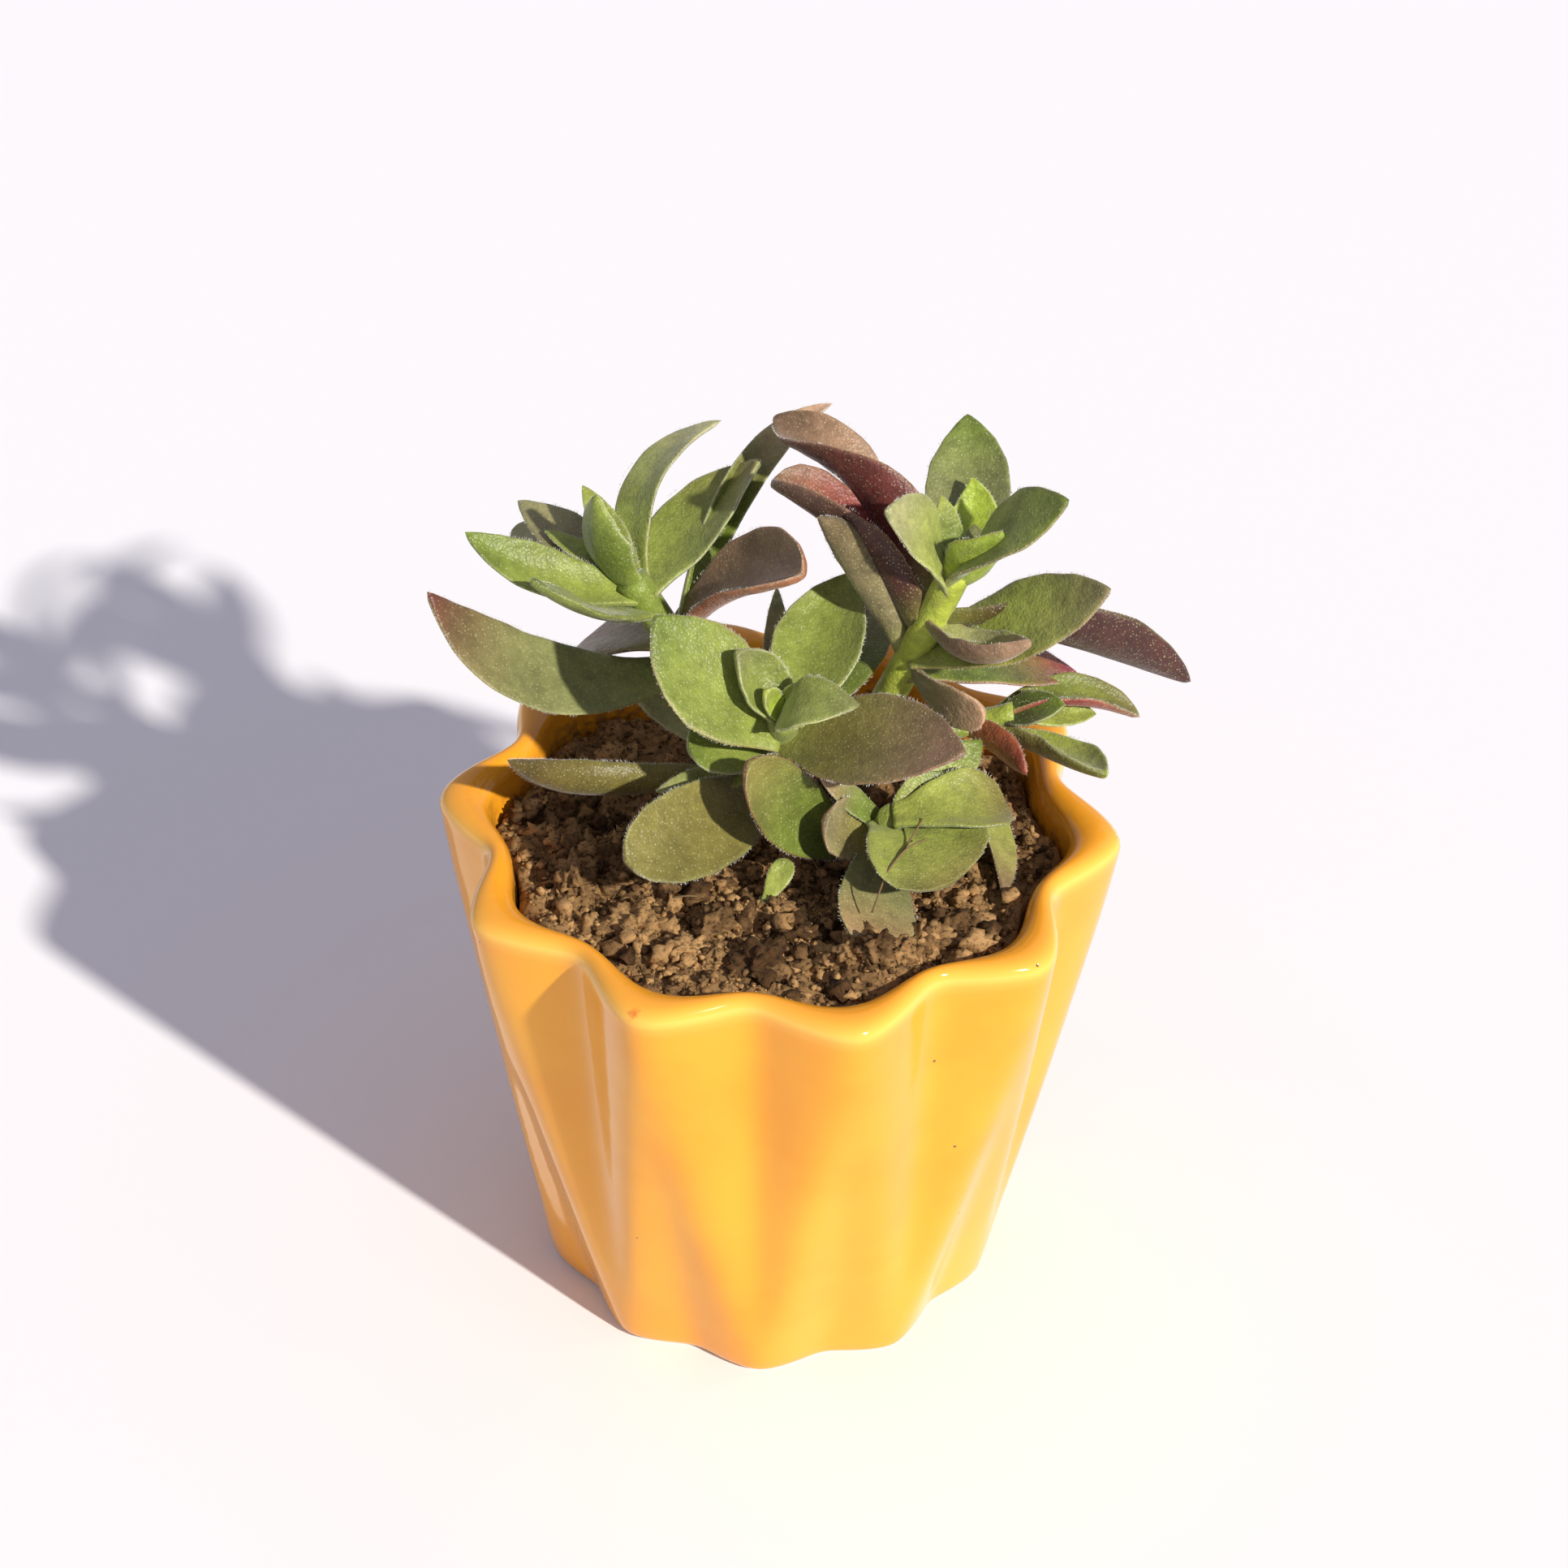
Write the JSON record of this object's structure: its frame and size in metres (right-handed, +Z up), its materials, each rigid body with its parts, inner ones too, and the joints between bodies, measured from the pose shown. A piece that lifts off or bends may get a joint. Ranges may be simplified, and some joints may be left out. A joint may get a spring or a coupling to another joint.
{
  "type": "potted succulent",
  "caption": "Small ceramic pot with a twisted scalloped wall, filled with soil that holds a clump of fleshy, hairy-edged rosette leaves on short stems.",
  "frame": {"origin": "centre of the pot's flat underside, on the surface it stands on", "axes": "+Z up along the pot's axis, +Y away from the viewer of the picture, +X to the viewer's right"},
  "size_m": [0.1012, 0.0913, 0.1224],
  "materials": {
    "yellow_glaze": "glossy yellow-orange glaze",
    "potting_soil": "rough crumbly potting soil",
    "fleshy_leaf": "fleshy green leaf with pale hairy margins",
    "old_leaf": "older olive and red-brown fleshy leaf"
  },
  "bodies": {
    "root": {"pot": "yellow_glaze", "soil": "potting_soil", "stem_centre": "fleshy_leaf", "stem_left": "fleshy_leaf", "stem_right": "old_leaf", "stem_front": "fleshy_leaf", "sprout_leaf": "fleshy_leaf"}
  },
  "joints": []
}
